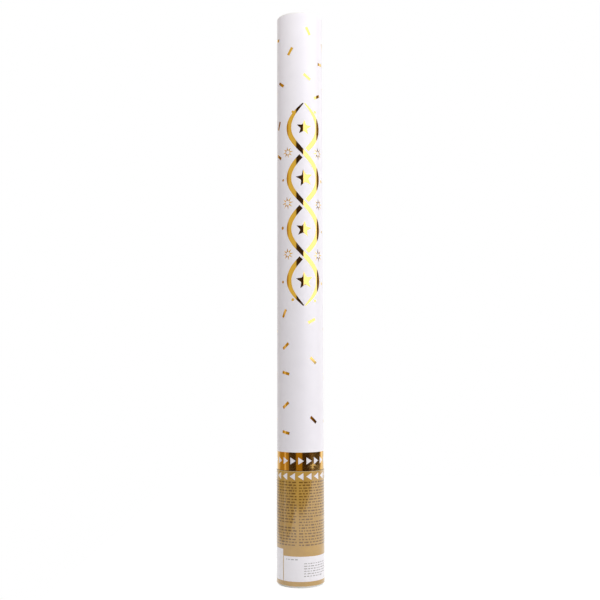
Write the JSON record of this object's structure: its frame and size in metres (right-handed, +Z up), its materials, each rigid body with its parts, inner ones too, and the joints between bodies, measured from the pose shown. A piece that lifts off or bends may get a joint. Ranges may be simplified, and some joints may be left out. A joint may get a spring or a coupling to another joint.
{
  "type": "confetti popper",
  "caption": "Hand-held party popper: a long printed paper barrel on a shorter paper handle. Twisting the barrel opens an air bottle and throws paper confetti out of the muzzle.",
  "frame": {"origin": "centre of the base cap's foot ring, on the surface that the popper stands on", "axes": "+Z up along the barrel to the muzzle; -Y is the side that faces the camera"},
  "size_m": [0.05, 0.05, 0.6],
  "materials": {
    "tube_board": "matte",
    "barrel_print": "gloss",
    "gold_foil": "polished",
    "handle_print": "satin",
    "white_plastic": "satin",
    "grey_plastic": "satin",
    "bottle_plastic": "gloss",
    "seal_rubber": "matte",
    "spring_steel": "satin",
    "valve_brass": "satin",
    "wad_board": "matte",
    "soft_foam": "matte",
    "confetti_paper": "satin",
    "foil_card": "polished"
  },
  "bodies": {
    "handle": {"handle_tube": "tube_board", "handle_wrap": "handle_print", "base_cap": "white_plastic", "air_bottle": "bottle_plastic", "thrust_washer": "white_plastic", "neck_o_ring": "seal_rubber", "circlip": "spring_steel", "fill_valve_body": "valve_brass", "fill_valve_gasket": "seal_rubber", "fill_valve_nut": "valve_brass", "fill_valve_retainer": "valve_brass", "fill_valve_spring": "spring_steel"},
    "barrel": {"barrel_tube": "tube_board", "barrel_wrap": "barrel_print", "foil_band": "gold_foil", "breech": "grey_plastic"},
    "stopper": {"stopper": "grey_plastic", "stopper_o_ring": "seal_rubber", "cross_pin": "spring_steel"},
    "fill_ball": {"fill_valve_ball": "spring_steel"},
    "charge": {"pusher_wad": "wad_board", "foam_pad": "soft_foam", "confetti_tier_1": "confetti_paper", "confetti_tier_2": "confetti_paper", "confetti_tier_3": "confetti_paper", "confetti_tier_4": "confetti_paper", "confetti_tier_5": "confetti_paper", "confetti_tier_6": "confetti_paper", "confetti_tier_7": "confetti_paper", "confetti_tier_8": "confetti_paper", "cover_disc": "wad_board", "muzzle_plug": "foil_card"}
  },
  "joints": [
    {"name": "barrel_twist", "type": "hinge", "parent": "handle", "child": "barrel", "pos_m": [0, 0, 0.1174], "axis": [0, 0, 1], "range_deg": [0, 90]},
    {"name": "stopper_lift", "type": "slide", "parent": "handle", "child": "stopper", "axis": [0, 0, 1], "range_m": [0, 0.005]},
    {"name": "charge_shot", "type": "slide", "parent": "barrel", "child": "charge", "axis": [0, 0, 1], "range_m": [0, 0.465]},
    {"name": "fill_ball_lift", "type": "slide", "parent": "handle", "child": "fill_ball", "axis": [0, 0, 1], "range_m": [0, 0.0012], "stiffness_N_per_m": 200, "springref_m": -0.001, "deforming": ["fill_valve_spring"]}
  ],
  "couplings": [
    {"joint": "stopper_lift", "follows": "barrel_twist", "m_per_rad": 0.0031831}
  ]
}
